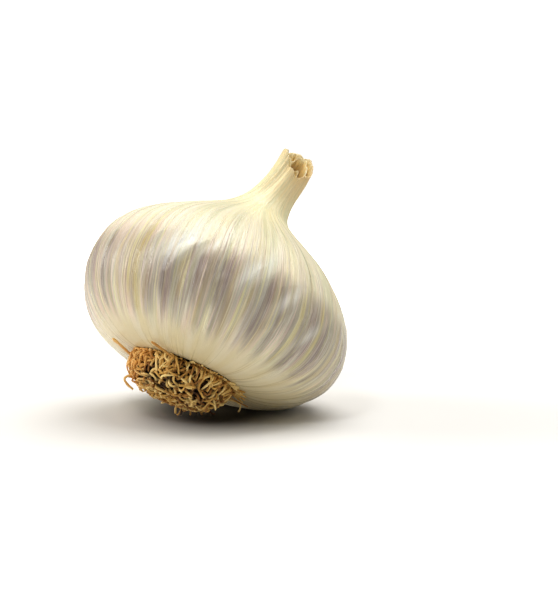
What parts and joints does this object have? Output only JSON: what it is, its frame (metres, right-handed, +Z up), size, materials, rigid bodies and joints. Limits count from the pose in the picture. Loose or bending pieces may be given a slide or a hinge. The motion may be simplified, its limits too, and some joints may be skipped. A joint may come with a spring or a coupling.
{
  "type": "garlic bulb",
  "caption": "Whole dried garlic bulb in its papery skins, lying on its flank and its trimmed mat of roots, with the cut neck leaning up and the inner sheaths showing in the cut.",
  "frame": {"origin": "centre of the bounding box's base, on the surface that the bulb lies on", "axes": "+Z up, away from the surface; -Y towards the viewer of the side with the roots; the cut neck leans to +X and +Y"},
  "size_m": [0.0614, 0.062, 0.0615],
  "materials": {
    "skin": "thin dry papery skin, cream with lilac-grey and yellow veins, satin sheen",
    "inner_sheath": "dried leaf sheaths, tan, matte",
    "roots": "dry fibrous roots, golden brown, matte"
  },
  "bodies": {
    "root": {"bulb": "skin", "neck_core": "inner_sheath", "root_tuft": "roots"}
  },
  "joints": []
}
